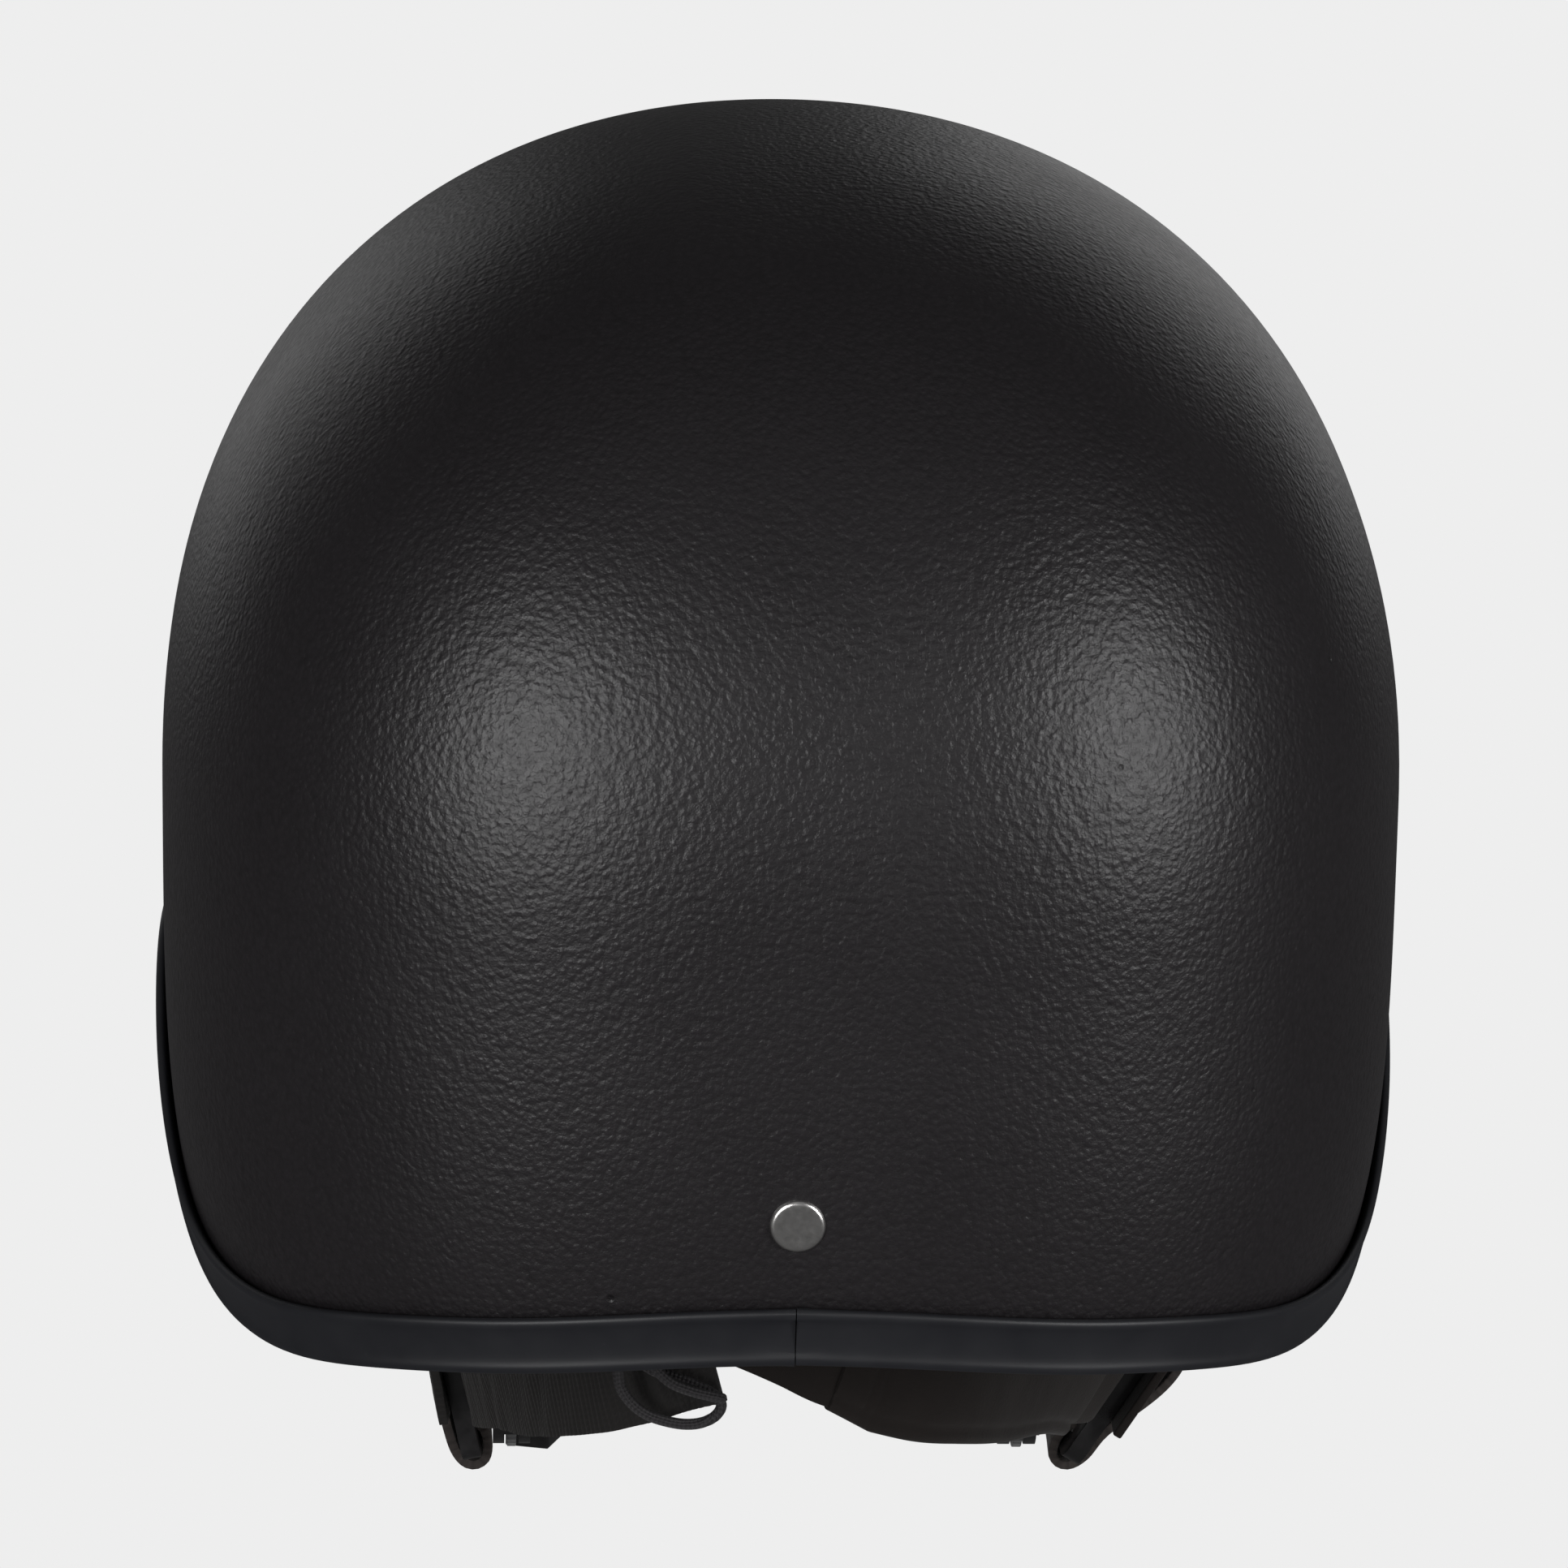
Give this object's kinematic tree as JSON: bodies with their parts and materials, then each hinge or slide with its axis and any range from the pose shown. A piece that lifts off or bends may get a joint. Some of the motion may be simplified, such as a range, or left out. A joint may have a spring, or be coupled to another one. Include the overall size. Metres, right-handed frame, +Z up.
{
  "type": "equestrian riding helmet",
  "caption": "Riding skull helmet with a textured shell, rubber edge trim, foam liner, padded lining, laced nape harness and buckled chin strap.",
  "frame": {"origin": "centre of the head opening, level with the trim's lower edge at the nape", "axes": "+X to the wearer's right, +Y forwards to the brow, +Z up to the crown"},
  "size_m": [0.2098, 0.2552, 0.2481],
  "materials": {
    "shell_finish": "textured matt black finish",
    "trim_rubber": "smooth satin rubber",
    "liner_foam": "moulded bead foam",
    "lining_fabric": "brushed mesh fabric over foam",
    "headband_fabric": "brushed sweatband fabric",
    "hook_tape": "hook tape",
    "rivet_nickel": "worn bright nickel",
    "washer_steel": "plain zinc plate",
    "webbing": "woven webbing",
    "side_webbing": "faded woven webbing",
    "ribbed_webbing": "ribbed elastic webbing",
    "suede": "suede nap",
    "eyelet_metal": "blackened metal",
    "lace_cord": "braided cord",
    "gloss_plastic": "glossy moulded plastic",
    "keeper_rubber": "soft rubber"
  },
  "bodies": {
    "helmet": {"outer_shell": "shell_finish", "edge_trim": "trim_rubber", "foam_liner": "liner_foam", "crown_pad": "lining_fabric", "lining_pad_front": "lining_fabric", "lining_pad_rear": "lining_fabric", "lining_pad_left": "lining_fabric", "lining_pad_right": "lining_fabric", "headband_front": "headband_fabric", "headband_rear": "headband_fabric", "hook_patches": "hook_tape", "rear_rivet": "rivet_nickel", "side_rivet_left": "rivet_nickel", "side_rivet_right": "rivet_nickel", "rivet_washers": "washer_steel", "rear_tab": "webbing", "side_strap_left": "side_webbing", "side_strap_right": "side_webbing", "nape_band_left": "ribbed_webbing", "nape_band_right": "suede", "nape_sleeve": "suede", "lace_eyelets": "eyelet_metal", "nape_lace": "lace_cord", "ear_divider_left": "gloss_plastic", "ear_divider_right": "gloss_plastic", "pivot_pin_left": "washer_steel", "pivot_pin_right": "washer_steel"},
    "chin_strap": {"chin_web_left": "webbing", "chin_web_right": "webbing", "buckle_socket": "gloss_plastic", "tri_glide": "gloss_plastic"},
    "buckle_plug_half": {"buckle_plug": "gloss_plastic"},
    "upper_prong": {"buckle_prong_upper": "gloss_plastic"},
    "lower_prong": {"buckle_prong_lower": "gloss_plastic"},
    "keeper": {"strap_keeper": "keeper_rubber"},
    "chin_cushion": {"chin_pad": "suede"}
  },
  "joints": [
    {"name": "chin_strap_swing", "type": "hinge", "parent": "helmet", "child": "chin_strap", "pos_m": [0, 0.012, -0.055], "axis": [1, 0, 0], "range_deg": [-75, 15]},
    {"name": "buckle_unclip", "type": "slide", "parent": "chin_strap", "child": "buckle_plug_half", "axis": [0.309, 0.9487, -0.0663], "range_m": [0, 0.016], "deforming": ["buckle_prong_upper", "buckle_prong_lower"]},
    {"name": "prong_squeeze_upper", "type": "hinge", "parent": "buckle_plug_half", "child": "upper_prong", "pos_m": [-0.03259, 0.04979, -0.04942], "axis": [0.9511, -0.3083, 0.0216], "range_deg": [0, 8], "stiffness_Nm_per_rad": 0.02},
    {"name": "prong_squeeze_lower", "type": "hinge", "parent": "buckle_plug_half", "child": "lower_prong", "pos_m": [-0.03259, 0.04864, -0.06578], "axis": [0.9511, -0.3083, 0.0216], "range_deg": [-8, 0], "stiffness_Nm_per_rad": 0.02},
    {"name": "keeper_slide", "type": "slide", "parent": "chin_strap", "child": "keeper", "axis": [-0.309, 0.9487, -0.0663], "range_m": [-0.006, 0.01]},
    {"name": "chin_pad_slide", "type": "hinge", "parent": "chin_strap", "child": "chin_cushion", "pos_m": [0, 0.07075, -0.05911], "axis": [0, 0.0698, 0.9976], "range_deg": [-16, 16]}
  ],
  "couplings": [
    {"joint": "prong_squeeze_lower", "follows": "prong_squeeze_upper", "ratio": -1}
  ]
}
